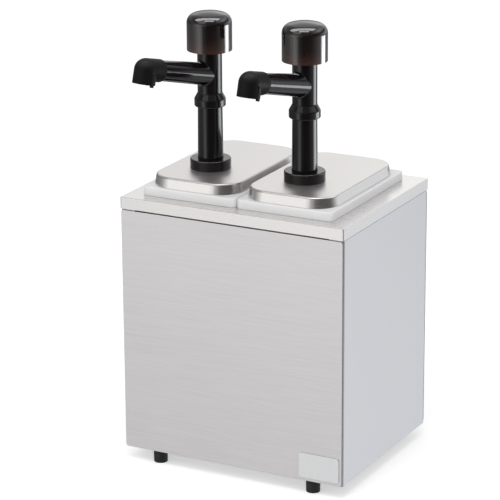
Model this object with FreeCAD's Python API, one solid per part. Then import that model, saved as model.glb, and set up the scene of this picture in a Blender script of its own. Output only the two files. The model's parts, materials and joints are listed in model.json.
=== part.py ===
import FreeCAD, Part
import math
import os

# Two-jar topping warmer with pumps. Millimetres, +Z up, front towards -Y.
# The origin is on the counter, under the middle of the cabinet.

# Cabinet
cabinet_width = 260.0
cabinet_depth = 209.0
cabinet_height = 280.0
sheet = 1.0
band_height = 12.4
band_gap = 1.4
band_corner_radius = 1.6
side_gap = 0.4
joggle_gap = 0.2
top_flange_width = 7.0

# Front and rear panels, and the side panels' returns that carry them
panel_thickness = 1.6
panel_edge_gap = 1.0
panel_edge_round = 0.6
panel_corner_radius = 3.0
panel_hem_width = 8.0
side_corner_radius = 3.0
return_width = 17.0
panel_stud_inset = 11.0
panel_stud_margin = 30.0

# Bottom pan
pan_flange_height = 14.0
pan_corner_radius = 3.0
pan_vent_radius = 3.0
pan_vent_pitch = 22.0
pan_vent_count = 5

# Feet
foot_height = 14.0
foot_radius = 7.7
foot_taper = 0.3
foot_inset_side = 38.5
foot_inset_front = 9.6
foot_recess_radius = 4.7
foot_recess_depth = 8.0

# Badge plate, bare
badge_width = 46.0
badge_height = 27.0
badge_thickness = 0.8
badge_corner_radius = 3.0
badge_side_margin = 3.2
badge_low_margin = 4.0

# Screws, studs and nuts
screw_radius = 2.0
screw_hole_radius = 2.25
screw_head_radius = 3.9
screw_head_height = 2.4
screw_slot_width = 1.0
screw_slot_depth = 1.2
nut_across_flats = 7.0
nut_thickness = 3.2
nut_bore_gap = 0.05
stud_spare = 1.2

# Jars
jar_side_margin = 19.5
jar_end_margin = 16.5
jar_floor_height = 93.8
jar_gap = 1.0
jar_wall = 2.2
jar_lip_height = 9.6
jar_lip_overhang = 7.0
jar_lip_corner_radius = 5.0
jar_corner_radius = 18.0
jar_draft = 4.0
jar_foot_round = 5.0
jar_opening_gap = 3.0
jar_shift = -2.0
rest_gap = 0.2

# Lids
lid_side_margin = 3.5
lid_end_margin = 3.0
lid_height = 11.2
lid_flare = 2.2
lid_corner_radius = 27.0
lid_edge_round = 2.4
lid_shift = -1.0

# Pump barrel, nut and suction side
pump_setback = 27.0
pump_offset = -5.0
thread_radius = 17.0
thread_clearance = 0.15
barrel_radius = 16.5
barrel_bore_radius = 14.3
barrel_flange_radius = 22.0
barrel_flange_thickness = 3.5
barrel_length = 93.0
gasket_thickness = 1.5
gasket_radius = 21.0
nut_radius = 21.8
nut_height = 10.8
nut_top_thickness = 2.5
nut_edge_round = 1.4
tube_clearance = 0.3
fitting_radius = 18.8
fitting_socket_depth = 8.0
fitting_ledge_thickness = 7.0
fitting_clearance = 0.05
chamber_radius = 8.2
chamber_depth = 15.0
chamber_floor = 3.0
chamber_lip_height = 1.5
chamber_lip_reach = 2.1
spigot_radius = 7.6
spigot_length = 14.0
suction_ball_radius = 6.35
suction_seat_radius = 4.4
suction_tube_radius = 5.0
suction_tube_bore_radius = 3.6
suction_tube_floor_gap = 8.0
suction_tube_engagement = 10.0
ball_gap = 0.05

# Plunger, seal, discharge valve and spring
stroke = 48.0
plunger_low_radius = 13.55
plunger_high_radius = 13.05
plunger_bore_radius = 10.6
piston_radius = 13.9
piston_depth = 15.0
piston_height = 10.0
seal_height = 3.4
seal_clearance = 0.05
seal_groove_radius = 12.3
seal_offset = 3.0
valve_floor = 4.0
valve_chamber_radius = 7.6
valve_chamber_height = 16.0
valve_lip_height = 2.0
valve_lip_reach = 1.2
discharge_ball_radius = 7.0
discharge_seat_radius = 5.0
spring_wire_radius = 0.9
spring_radius = 12.2
spring_turns = 8
spring_end_gap = 0.15

# Pump head, spout, nozzle and knob
exposed_tube = 56.5
collar_radius = 16.6
collar_height = 8.0
collar_taper = 6.5
collar_edge_round = 1.2
collar_shoulder_round = 2.5
socket_depth = 14.0
socket_clearance = 0.08
head_radius = 13.05
head_bore_radius = 10.0
spout_rise = 33.4
spout_root_radius = 12.2
spout_end_radius = 10.8
spout_bore_radius = 8.2
spout_slope = 13.0
spout_straight = 16.0
spout_root_fillet = 2.5
nozzle_reach = 94.7
nozzle_radius = 12.0
nozzle_bore_radius = 8.6
nozzle_sleeve_length = 11.2
nozzle_sleeve_round = 0.9
nozzle_drop = 14.8
nozzle_clearance = 0.05
nozzle_lug_depth = 3.0
nozzle_lug_width = 2.8
nozzle_lug_height = 15.0
nozzle_lug_drop = 2.0
head_closure = 8.0
plug_socket_depth = 14.0
plug_radius = 8.0
plug_clearance = 0.05
knob_lift = 60.0
knob_radius = 23.75
knob_height = 41.0
knob_wall = 2.5
knob_dome_height = 12.0
knob_shoulder_radius = 10.0
knob_head_cover = 26.0
left_spout_yaw = 16.4
right_spout_yaw = 9.7

# Warming well and its insulation
well_gap = 4.5
well_floor_gap = 5.0
well_corner_radius = 20.0
well_flange_width = 9.0
well_stud_share = 0.7
insulation_thickness = 9.0
insulation_gap = 0.3

# Heater under the well
spreader_side_margin = 23.0
spreader_end_margin = 23.5
spreader_thickness = 3.0
spreader_corner_radius = 6.0
element_radius = 3.2
element_side_margin = 19.0
element_front_margin = 12.0
element_tail = 6.0
element_bend_share = 0.49
element_gap = 0.1
element_pin_radius = 1.6
element_pin_length = 8.0
clamp_width = 14.0
clamp_thickness = 1.6
clamp_share = 0.24
clamp_overhang = 9.0
bulb_radius = 2.9
bulb_end_margin = 20.0
bulb_share = 0.77
cutout_radius = 8.0
cutout_height = 7.5
cutout_ear_length = 24.0
cutout_ear_width = 8.0
cutout_blade_width = 6.3
cutout_blade_thickness = 0.8
cutout_blade_length = 7.0

# Controls on the rear panel
control_height = 38.0
vent_width = 4.0
vent_length = 26.0
vent_pitch = 12.0
vent_count = 8
vent_low_height = 120.0
vent_row_pitch = 60.0
thermostat_share = 0.25
thermostat_width = 36.0
thermostat_body_depth = 24.0
bushing_radius = 5.0
bushing_length = 5.0
bushing_nut_thickness = 2.0
bushing_nut_radius = 7.5
spindle_radius = 3.0
spindle_length = 20.0
spindle_clearance = 0.06
dial_radius = 17.0
dial_grip_radius = 13.5
dial_skirt = 3.0
dial_height = 15.0
dial_gap = 1.0
dial_wall = 3.0
dial_flutes = 12
dial_flute_radius = 1.6
switch_share = -0.09
switch_width = 15.0
switch_height = 27.0
switch_body_depth = 20.0
switch_bezel = 2.0
switch_wall = 1.6
rocker_gap = 0.4
rocker_depth = 6.0
rocker_crown = 2.2
rocker_tilt = 7.0
rocker_pivot_depth = 3.0
rocker_pivot_radius = 1.2
rocker_pivot_reach = 1.0
rocker_pivot_clearance = 0.06
lamp_share = 0.055
lamp_radius = 5.0
lamp_rim = 1.5
lamp_rim_thickness = 1.5
lamp_dome = 2.2
lamp_body_length = 16.0
inlet_share = -0.285
inlet_flange_width = 50.0
inlet_flange_height = 24.0
inlet_flange_thickness = 3.0
inlet_body_width = 28.0
inlet_body_height = 20.0
inlet_body_depth = 18.0
inlet_wall = 1.5
inlet_corner_radius = 3.0
inlet_screw_pitch = 40.0
inlet_pin_recess = 4.5
inlet_pin_width = 2.0
inlet_pin_height = 4.0
inlet_pin_pitch = 14.0
inlet_pin_offset = 2.0
inlet_tab_length = 6.0

# Terminal block and wiring
block_width = 42.0
block_length = 18.0
block_height = 15.0
block_share = -0.155
block_ways = 4
block_hole_radius = 2.0
block_screw_radius = 1.8
block_screw_depth = 6.0
wire_radius = 1.1
wire_bend_share = 0.4
wire_end_gap = 0.1
capillary_radius = 0.9
capillary_dip = 22.0
wire_drop = 14.0

cut_overrun = 5.0

# Places worked out from the sizes above
V = FreeCAD.Vector
UP = V(0, 0, 1)
BACK = V(0, 1, 0)
half_width = cabinet_width / 2
half_depth = cabinet_depth / 2
base_z = foot_height
deck_z = base_z + cabinet_height
band_z = deck_z - band_height
pan_top_z = base_z + sheet
panel_half_width = half_width - panel_edge_gap
panel_stud_x = half_width - panel_stud_inset
panel_stud_heights = (base_z + panel_stud_margin, band_z - panel_stud_margin)
jar_width = half_width - jar_gap / 2 - jar_side_margin
jar_length = cabinet_depth - jar_end_margin * 2
jar_pitch = jar_width + jar_gap
jar_half_x = jar_width / 2 - jar_lip_overhang
jar_half_y = jar_length / 2 - jar_lip_overhang
lip_z = deck_z + rest_gap
jar_top_z = lip_z + jar_lip_height
jar_floor_z = base_z + jar_floor_height
jar_depth = jar_top_z - jar_floor_z
lid_width = jar_width - lid_side_margin * 2
lid_length = jar_length - lid_end_margin * 2
skirt_z = jar_top_z + rest_gap
lid_z = skirt_z + lid_height
pump_y = -pump_setback
barrel_top_z = lid_z + nut_height - nut_top_thickness
barrel_low_z = barrel_top_z - barrel_length
flange_top_z = lid_z - sheet - gasket_thickness
ledge_z = barrel_low_z + fitting_clearance
fitting_top_z = barrel_low_z + fitting_socket_depth
seat_z = barrel_low_z - chamber_depth + chamber_floor
spigot_z = barrel_low_z - chamber_depth - spigot_length
piston_z = lid_z - piston_depth
nut_top_z = lid_z + nut_height
collar_z = nut_top_z + exposed_tube
plunger_top_z = collar_z + socket_depth
spout_z = collar_z + spout_rise
knob_z = collar_z + knob_lift
head_top_z = knob_z + knob_head_cover
well_top_z = deck_z - sheet
well_inner_floor_z = jar_floor_z - well_floor_gap
well_floor_z = well_inner_floor_z - sheet
well_half_x = jar_pitch / 2 + jar_half_x + well_gap
well_half_y = jar_half_y + well_gap
well_stud_pitch = well_half_y * well_stud_share
spreader_width = (well_half_x - spreader_side_margin) * 2
spreader_length = (well_half_y - spreader_end_margin) * 2
spreader_z = well_floor_z - spreader_thickness
element_pitch = (spreader_width / 2 - element_side_margin) * 2 / 3
element_front = spreader_length / 2 - element_front_margin
element_back = spreader_length / 2 + element_tail
element_z = spreader_z - element_gap - element_radius
clamp_z = element_z - element_radius - element_gap - clamp_thickness
clamp_offset = spreader_length * clamp_share
bulb_length = spreader_length - bulb_end_margin * 2
bulb_offset = element_pitch * bulb_share
rear_inner_y = half_depth - sheet
control_z = base_z + control_height
thermostat_offset = cabinet_width * thermostat_share
switch_offset = cabinet_width * switch_share
lamp_offset = cabinet_width * lamp_share
inlet_offset = cabinet_width * inlet_share
block_offset = cabinet_width * block_share


def block(x0, x1, y0, y1, z0, z1):
    return Part.makeBox(x1 - x0, y1 - y0, z1 - z0, V(x0, y0, z0))


def post(radius, x, y, z0, z1):
    return Part.makeCylinder(radius, z1 - z0, V(x, y, z0), UP)


def rod(radius, start, end):
    return Part.makeCylinder(radius, (end - start).Length, start, end - start)


def rounded_outline(x, y, z, half_x, half_y, radius):
    inset_x = half_x - radius
    inset_y = half_y - radius
    edges = []
    for turn in range(4):
        quarter = turn * math.pi / 2
        corner_x = inset_x if turn in (0, 3) else -inset_x
        corner_y = inset_y if turn in (0, 1) else -inset_y
        centre = V(x + corner_x, y + corner_y, z)
        points = [centre + V(math.cos(quarter + step), math.sin(quarter + step), 0) * radius
                  for step in (0, math.pi / 4, math.pi / 2)]
        edges.append(Part.Arc(*points).toShape())
    lines = []
    for turn in range(4):
        start = edges[turn].Vertexes[-1].Point
        end = edges[(turn + 1) % 4].Vertexes[0].Point
        lines.append(Part.makeLine(start, end))
    ordered = [edge for pair in zip(edges, lines) for edge in pair]
    return Part.Wire(ordered)


def prism(x, y, half_x, half_y, radius, z0, z1):
    face = Part.Face(rounded_outline(x, y, z0, half_x, half_y, radius))
    return face.extrude(V(0, 0, z1 - z0))


def tapered(x, y, sections):
    wires = [rounded_outline(x, y, z, half_x, half_y, radius) for z, half_x, half_y, radius in sections]
    return Part.makeLoft(wires, True, True)


def turned(x, y, outline):
    points = [V(x + radius, y, z) for radius, z in outline]
    face = Part.Face(Part.makePolygon(points + points[:1]))
    return face.revolve(V(x, y, 0), UP, 360)


def placed(shape, origin, direction):
    moved = shape.copy()
    moved.Placement = FreeCAD.Placement(origin, FreeCAD.Rotation(UP, direction))
    return moved


def mirrored(shape):
    return shape.mirror(V(0, 0, 0), V(1, 0, 0))


def turned_round(shape):
    moved = shape.copy()
    moved.rotate(V(0, 0, 0), UP, 180)
    return moved


def united(shapes):
    whole = shapes[0].fuse(shapes[1:]) if len(shapes) > 1 else shapes[0]
    return whole.removeSplitter()


def group(shapes):
    return Part.makeCompound(shapes)


def edges_at_height(shape, z):
    return [edge for edge in shape.Edges
            if all(abs(vertex.Point.z - z) < sheet / 100 for vertex in edge.Vertexes)]


def upright_edges(shape, x, y):
    return [edge for edge in shape.Edges
            if all(abs(vertex.Point.x - x) < sheet / 100 and abs(vertex.Point.y - y) < sheet / 100
                   for vertex in edge.Vertexes)]


def bent_tube(points, radius, bend_share):
    """A round tube along straight runs joined by tangent arcs."""
    edges = []
    start = points[0]
    for before, corner, after in zip(points, points[1:], points[2:]):
        inward = (before - corner).normalize()
        outward = (after - corner).normalize()
        half_turn = (math.pi - inward.getAngle(outward)) / 2
        run = min((before - corner).Length, (after - corner).Length)
        setback = bend_share * run
        bend = setback / math.tan(half_turn)
        enter = corner + inward * setback
        leave = corner + outward * setback
        middle_direction = (inward + outward).normalize()
        middle = corner + middle_direction * (bend / math.cos(half_turn) - bend)
        if (enter - start).Length > wire_end_gap / 100:
            edges.append(Part.makeLine(start, enter))
        edges.append(Part.Arc(enter, middle, leave).toShape())
        start = leave
    edges.append(Part.makeLine(start, points[-1]))
    first_direction = points[1] - points[0]
    section = Part.Wire([Part.makeCircle(radius, points[0], first_direction)])
    return Part.Wire(edges).makePipeShell([section], True, False)


def hex_nut():
    corner_radius = nut_across_flats / math.sqrt(3)
    angles = [turn * math.pi / 3 for turn in range(6)]
    corners = [V(math.cos(angle), math.sin(angle), 0) * corner_radius for angle in angles]
    solid = Part.Face(Part.makePolygon(corners + corners[:1])).extrude(UP * nut_thickness)
    return solid.cut(post(screw_radius + nut_bore_gap, 0, 0, -cut_overrun, nut_thickness + cut_overrun))


def pan_screw(length):
    """A cross-recessed screw along +Z, its head's seat at the origin and its head below it."""
    head = Part.makeCylinder(screw_head_radius, screw_head_height, V(0, 0, -screw_head_height), UP)
    head = head.makeFillet(screw_head_height / 2, edges_at_height(head, -screw_head_height))
    shank = post(screw_radius, 0, 0, 0, length)
    reach = screw_head_radius * 2 / 3
    slot_top = screw_slot_depth - screw_head_height
    first = block(-reach, reach, -screw_slot_width / 2, screw_slot_width / 2,
                  -screw_head_height - cut_overrun, slot_top)
    second = block(-screw_slot_width / 2, screw_slot_width / 2, -reach, reach,
                   -screw_head_height - cut_overrun, slot_top)
    return head.fuse(shank).removeSplitter().cut([first, second])


# Cabinet shell

def well_stud_places():
    x = well_half_x + sheet + well_flange_width / 2
    return [(side * x, row * well_stud_pitch) for side in (-1, 1) for row in (-1, 0, 1)]


def top_deck():
    outer = block(-half_width, half_width, -half_depth, half_depth, band_z, deck_z)
    corners = []
    for x in (-half_width, half_width):
        for y in (-half_depth, half_depth):
            corners += upright_edges(outer, x, y)
    outer = outer.makeFillet(band_corner_radius, corners)
    outer = outer.makeFillet(sheet * 2 / 3, edges_at_height(outer, deck_z))
    hollow = block(-half_width + sheet, half_width - sheet, -half_depth + sheet, half_depth - sheet,
                   band_z - cut_overrun, deck_z - sheet)
    cuts = [hollow]
    for side in (-1, 1):
        cuts.append(prism(side * jar_pitch / 2, 0, jar_half_x + jar_opening_gap, jar_half_y + jar_opening_gap,
                          jar_corner_radius, deck_z - sheet - cut_overrun, deck_z + cut_overrun))
    deck = outer.cut(cuts)
    stud_end = deck_z - sheet - sheet - nut_thickness - stud_spare
    studs = [post(screw_radius, x, y, stud_end, deck_z - sheet) for x, y in well_stud_places()]
    return united([deck] + studs)


def side_panel():
    """The right-hand side panel: a channel with rounded corners and returns, and a joggled top flange."""
    plate_top = band_z - side_gap
    flange_y = half_depth - panel_thickness
    outer = prism(0, 0, half_width, flange_y, side_corner_radius, base_z, plate_top)
    hollow = prism(0, 0, half_width - sheet, flange_y - sheet, side_corner_radius - sheet,
                   base_z - cut_overrun, plate_top + cut_overrun)
    far_side = block(-half_width - cut_overrun, half_width - return_width, -half_depth, half_depth,
                     base_z - cut_overrun, plate_top + cut_overrun)
    step_x = half_width - sheet - joggle_gap
    step_y = flange_y - side_corner_radius
    parts = [
        outer.cut([hollow, far_side]),
        block(step_x - sheet, half_width, -step_y, step_y, plate_top - sheet, plate_top),
        block(step_x - sheet, step_x, -step_y, step_y, plate_top - sheet, deck_z - sheet),
        block(step_x - sheet - top_flange_width, step_x, -step_y, step_y, deck_z - sheet * 2, deck_z - sheet)]
    holes = [rod(screw_hole_radius, V(panel_stud_x, face * half_depth, z), V(panel_stud_x, 0, z))
             for face in (-1, 1) for z in panel_stud_heights]
    return united(parts).cut(holes)


def closing_panel():
    """A hemmed flat panel at the front, its inner face open between the hems."""
    top = band_z - band_gap
    panel = block(-panel_half_width, panel_half_width, -half_depth, -half_depth + panel_thickness, base_z, top)
    corners = [edge for edge in panel.Edges
               if edge.BoundBox.YLength > sheet and edge.BoundBox.XLength < sheet]
    panel = panel.makeFillet(panel_corner_radius, corners)
    rim = [edge for edge in panel.Edges
           if all(abs(vertex.Point.y + half_depth) < sheet / 100 for vertex in edge.Vertexes)]
    panel = panel.makeFillet(panel_edge_round, rim)
    pocket_x = half_width - return_width - panel_hem_width
    pocket = block(-pocket_x, pocket_x, -half_depth + sheet, -half_depth + panel_thickness + cut_overrun,
                   base_z + panel_hem_width, top - panel_hem_width)
    return panel.cut(pocket)


def front_panel():
    stud_end = -half_depth + panel_thickness + sheet + nut_thickness + stud_spare
    studs = [rod(screw_radius, V(side * panel_stud_x, -half_depth + sheet, z), V(side * panel_stud_x, stud_end, z))
             for side in (-1, 1) for z in panel_stud_heights]
    return united([closing_panel()] + studs)


def rear_panel():
    panel = turned_round(closing_panel())
    outside = half_depth + cut_overrun
    inside = half_depth - panel_thickness - cut_overrun
    cuts = [rod(screw_hole_radius, V(side * panel_stud_x, inside, z), V(side * panel_stud_x, outside, z))
            for side in (-1, 1) for z in panel_stud_heights]
    for row in range(2):
        z = base_z + vent_low_height + row * vent_row_pitch
        for column in range(vent_count):
            x = (column - (vent_count - 1) / 2) * vent_pitch
            cuts.append(block(x - vent_width / 2, x + vent_width / 2, inside, outside,
                              z - vent_length / 2 + vent_width / 2, z + vent_length / 2 - vent_width / 2))
            for end in (-1, 1):
                end_z = z + end * (vent_length / 2 - vent_width / 2)
                cuts.append(rod(vent_width / 2, V(x, inside, end_z), V(x, outside, end_z)))
    cuts.append(rod(bushing_radius + thread_clearance, V(thermostat_offset, inside, control_z),
                    V(thermostat_offset, outside, control_z)))
    cuts.append(rod(lamp_radius + thread_clearance, V(lamp_offset, inside, control_z),
                    V(lamp_offset, outside, control_z)))
    cuts.append(block(switch_offset - switch_width / 2 - thread_clearance,
                      switch_offset + switch_width / 2 + thread_clearance, inside, outside,
                      control_z - switch_height / 2 - thread_clearance,
                      control_z + switch_height / 2 + thread_clearance))
    cuts.append(block(inlet_offset - inlet_body_width / 2 - thread_clearance,
                      inlet_offset + inlet_body_width / 2 + thread_clearance, inside, outside,
                      control_z - inlet_body_height / 2 - thread_clearance,
                      control_z + inlet_body_height / 2 + thread_clearance))
    for side in (-1, 1):
        x = inlet_offset + side * inlet_screw_pitch / 2
        cuts.append(rod(screw_hole_radius, V(x, inside, control_z), V(x, outside, control_z)))
    return panel.cut(cuts)


def foot_places():
    x = half_width - foot_inset_side
    y = half_depth - foot_inset_front
    return {"front_left": (-x, -y), "front_right": (x, -y), "rear_left": (-x, y), "rear_right": (x, y)}


def bottom_pan():
    x = half_width - sheet
    y = half_depth - panel_thickness - sheet
    outer = prism(0, 0, x, y, pan_corner_radius, base_z, base_z + pan_flange_height)
    hollow = prism(0, 0, x - sheet, y - sheet, pan_corner_radius / 2, pan_top_z,
                   base_z + pan_flange_height + cut_overrun)
    cuts = [hollow]
    low = base_z - cut_overrun
    high = pan_top_z + cut_overrun
    cuts += [post(screw_hole_radius, foot_x, foot_y, low, high) for foot_x, foot_y in foot_places().values()]
    for column in range(pan_vent_count):
        for row in (-1, 1):
            vent_x = (column - (pan_vent_count - 1) / 2) * pan_vent_pitch
            cuts.append(post(pan_vent_radius, vent_x, row * pan_vent_pitch, low, high))
    return outer.cut(cuts)


def foot(x, y):
    return turned(x, y, [
        (foot_recess_radius, 0), (foot_radius - foot_taper, 0), (foot_radius, foot_height - foot_taper),
        (foot_radius, foot_height), (screw_hole_radius, foot_height), (screw_hole_radius, foot_recess_depth),
        (foot_recess_radius, foot_recess_depth)])


def badge_plate():
    right = panel_half_width - badge_side_margin
    low = base_z + badge_low_margin
    plate = block(right - badge_width, right, -half_depth - badge_thickness, -half_depth,
                  low, low + badge_height)
    corners = [edge for edge in plate.Edges
               if edge.BoundBox.XLength < sheet / 100 and edge.BoundBox.ZLength < sheet / 100]
    return plate.makeFillet(badge_corner_radius, corners)


# Warming well and heater

def clamp_stud_places():
    return [(side * element_pitch, row * clamp_offset) for side in (-1, 1) for row in (-1, 1)]


def warming_well():
    outer = prism(0, 0, well_half_x + sheet, well_half_y + sheet, well_corner_radius + sheet,
                  well_floor_z, well_top_z)
    flange = prism(0, 0, well_half_x + sheet + well_flange_width, well_half_y + sheet + well_flange_width,
                   well_corner_radius + sheet, well_top_z - sheet, well_top_z)
    hollow = prism(0, 0, well_half_x, well_half_y, well_corner_radius, well_inner_floor_z,
                   well_top_z + cut_overrun)
    holes = [post(screw_hole_radius, x, y, well_top_z - sheet - cut_overrun, well_top_z + cut_overrun)
             for x, y in well_stud_places()]
    tub = outer.fuse(flange).removeSplitter().cut([hollow] + holes)
    stud_end = clamp_z - nut_thickness - stud_spare
    studs = [post(screw_radius, x, y, stud_end, well_floor_z) for x, y in clamp_stud_places()]
    return united([tub] + studs)


def insulation_wrap():
    inner_x = well_half_x + sheet + insulation_gap
    inner_y = well_half_y + sheet + insulation_gap
    corner = well_corner_radius + sheet + insulation_gap
    high = well_top_z - sheet - nut_thickness - stud_spare - rest_gap
    outer = prism(0, 0, inner_x + insulation_thickness, inner_y + insulation_thickness,
                  corner + insulation_thickness, well_floor_z, high)
    hollow = prism(0, 0, inner_x, inner_y, corner, well_floor_z - cut_overrun, high + cut_overrun)
    return outer.cut(hollow)


def heat_spreader_plate():
    plate = prism(0, 0, spreader_width / 2, spreader_length / 2, spreader_corner_radius,
                  spreader_z, well_floor_z)
    return plate.cut([post(screw_hole_radius, x, y, spreader_z - cut_overrun, well_floor_z + cut_overrun)
                      for x, y in clamp_stud_places()])


def heating_element():
    outer_x = element_pitch * 3 / 2
    inner_x = element_pitch / 2
    route = [(-outer_x, element_back), (-outer_x, -element_front), (-inner_x, -element_front),
             (-inner_x, element_front), (inner_x, element_front), (inner_x, -element_front),
             (outer_x, -element_front), (outer_x, element_back)]
    points = [V(x, y, element_z) for x, y in route]
    reach = element_bend_share * element_pitch
    edges = []
    start = points[0]
    for before, corner, after in zip(points, points[1:], points[2:]):
        inward = (before - corner).normalize()
        outward = (after - corner).normalize()
        centre = corner + (inward + outward) * reach
        middle = centre - (inward + outward).normalize() * reach
        edges.append(Part.makeLine(start, corner + inward * reach))
        edges.append(Part.Arc(corner + inward * reach, middle, corner + outward * reach).toShape())
        start = corner + outward * reach
    edges.append(Part.makeLine(start, points[-1]))
    section = Part.Wire([Part.makeCircle(element_radius, points[0], points[1] - points[0])])
    sheath = Part.Wire(edges).makePipeShell([section], True, False)
    pins = [rod(element_pin_radius, V(side * outer_x, element_back, element_z),
                V(side * outer_x, element_back + element_pin_length, element_z)) for side in (-1, 1)]
    return united([sheath] + pins)


def element_clamps():
    reach = element_pitch * 3 / 2 + clamp_overhang
    bars = []
    for row in (-1, 1):
        bar = block(-reach, reach, row * clamp_offset - clamp_width / 2, row * clamp_offset + clamp_width / 2,
                    clamp_z, clamp_z + clamp_thickness)
        holes = [post(screw_hole_radius, x, y, clamp_z - cut_overrun, clamp_z + cut_overrun)
                 for x, y in clamp_stud_places() if y * row > 0]
        bars.append(bar.cut(holes))
    return group(bars)


def thermostat_bulb():
    bulb_z = spreader_z - element_gap - bulb_radius
    start = V(bulb_offset, -bulb_length / 2, bulb_z)
    end = V(bulb_offset, bulb_length / 2, bulb_z)
    body_top = control_z + thermostat_width / 2
    body_y = rear_inner_y - thermostat_body_depth / 2
    route = [end, V(bulb_offset, bulb_length / 2 + capillary_dip, bulb_z),
             V(thermostat_offset, body_y, bulb_z - capillary_dip / 2), V(thermostat_offset, body_y, body_top)]
    capillary = bent_tube(route, capillary_radius, wire_bend_share)
    return united([rod(bulb_radius, start, end), capillary])


def thermal_cutout():
    ears = block(-cutout_ear_length / 2, cutout_ear_length / 2, -cutout_ear_width / 2, cutout_ear_width / 2,
                 spreader_z - sheet, spreader_z)
    body = post(cutout_radius, 0, 0, spreader_z - cutout_height, spreader_z - sheet)
    blades = [block(side * cutout_radius / 2 - cutout_blade_thickness / 2,
                    side * cutout_radius / 2 + cutout_blade_thickness / 2,
                    -cutout_blade_width / 2, cutout_blade_width / 2,
                    spreader_z - cutout_height - cutout_blade_length, spreader_z - cutout_height)
              for side in (-1, 1)]
    return united([ears, body] + blades)


# Controls on the rear panel

def thermostat_body():
    half = thermostat_width / 2
    case = block(thermostat_offset - half, thermostat_offset + half, rear_inner_y - thermostat_body_depth,
                 rear_inner_y, control_z - half, control_z + half)
    bushing_end = half_depth + bushing_length
    bushing = rod(bushing_radius, V(thermostat_offset, rear_inner_y, control_z),
                  V(thermostat_offset, bushing_end, control_z))
    ring = rod(bushing_nut_radius, V(thermostat_offset, half_depth, control_z),
               V(thermostat_offset, half_depth + bushing_nut_thickness, control_z))
    bore = rod(spindle_radius + spindle_clearance,
               V(thermostat_offset, rear_inner_y - thermostat_body_depth / 2, control_z),
               V(thermostat_offset, bushing_end + cut_overrun, control_z))
    return united([case, bushing, ring]).cut(bore)


def thermostat_spindle():
    start = rear_inner_y - thermostat_body_depth / 2 + rest_gap
    return rod(spindle_radius, V(thermostat_offset, start, control_z),
               V(thermostat_offset, half_depth + spindle_length, control_z))


def thermostat_knob():
    """Fluted knob with a skirt, turned about the origin and then laid along the spindle."""
    base = bushing_length + dial_gap
    cover = spindle_length - base
    profile = [(spindle_radius + spindle_clearance, 0), (dial_radius, 0), (dial_radius, dial_skirt),
               (dial_grip_radius, dial_skirt + sheet), (dial_grip_radius - sheet, dial_height),
               (0, dial_height), (0, cover), (spindle_radius + spindle_clearance, cover)]
    solid = turned(0, 0, profile)
    flutes = []
    for turn in range(dial_flutes):
        angle = turn * 2 * math.pi / dial_flutes
        flutes.append(post(dial_flute_radius, dial_grip_radius * math.cos(angle),
                           dial_grip_radius * math.sin(angle), dial_skirt + sheet, dial_height + cut_overrun))
    solid = solid.cut(flutes)
    return placed(solid, V(thermostat_offset, half_depth + base, control_z), BACK)


def switch_housing():
    half_x = switch_width / 2
    half_z = switch_height / 2
    outside = half_depth + switch_bezel
    body = block(switch_offset - half_x, switch_offset + half_x, rear_inner_y - switch_body_depth, outside,
                 control_z - half_z, control_z + half_z)
    bezel = block(switch_offset - half_x - switch_bezel, switch_offset + half_x + switch_bezel,
                  half_depth, outside, control_z - half_z - switch_bezel, control_z + half_z + switch_bezel)
    window = block(switch_offset - half_x + switch_wall, switch_offset + half_x - switch_wall,
                   outside - switch_bezel - rocker_depth - rocker_pivot_depth, outside + cut_overrun,
                   control_z - half_z + switch_wall, control_z + half_z - switch_wall)
    pivot_y = half_depth - rocker_pivot_depth
    reach = half_x - switch_wall + rocker_pivot_reach
    pivot = rod(rocker_pivot_radius + rocker_pivot_clearance, V(switch_offset - reach, pivot_y, control_z),
                V(switch_offset + reach, pivot_y, control_z))
    return united([body, bezel]).cut([window, pivot])


def switch_rocker():
    """A shallow V-faced rocker, tilted to its off position about its pivot."""
    half_x = switch_width / 2 - switch_wall - rocker_gap
    half_z = switch_height / 2 - switch_wall - rocker_gap - rocker_crown / 2
    pivot_y = half_depth - rocker_pivot_depth
    crown_y = half_depth + switch_bezel
    outline = [(crown_y + rocker_crown, -half_z), (crown_y, 0), (crown_y + rocker_crown, half_z),
               (pivot_y, half_z), (pivot_y - rocker_crown, 0), (pivot_y, -half_z)]
    points = [V(switch_offset - half_x, y, control_z + z) for y, z in outline]
    body = Part.Face(Part.makePolygon(points + points[:1])).extrude(V(half_x * 2, 0, 0))
    reach = switch_width / 2 - switch_wall + rocker_pivot_reach - rocker_pivot_clearance
    pivot = rod(rocker_pivot_radius, V(switch_offset - reach, pivot_y, control_z),
                V(switch_offset + reach, pivot_y, control_z))
    rocker = united([body, pivot])
    rocker.rotate(V(switch_offset, pivot_y, control_z), V(1, 0, 0), -rocker_tilt)
    return rocker


def pilot_lamp():
    rim_end = half_depth + lamp_rim_thickness
    body = rod(lamp_radius, V(lamp_offset, half_depth - lamp_body_length, control_z),
               V(lamp_offset, rim_end, control_z))
    rim = rod(lamp_radius + lamp_rim, V(lamp_offset, half_depth, control_z), V(lamp_offset, rim_end, control_z))
    lens = Part.makeCone(lamp_radius, lamp_radius / 2, lamp_dome, V(lamp_offset, rim_end, control_z), BACK)
    return united([body, rim, lens])


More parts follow.
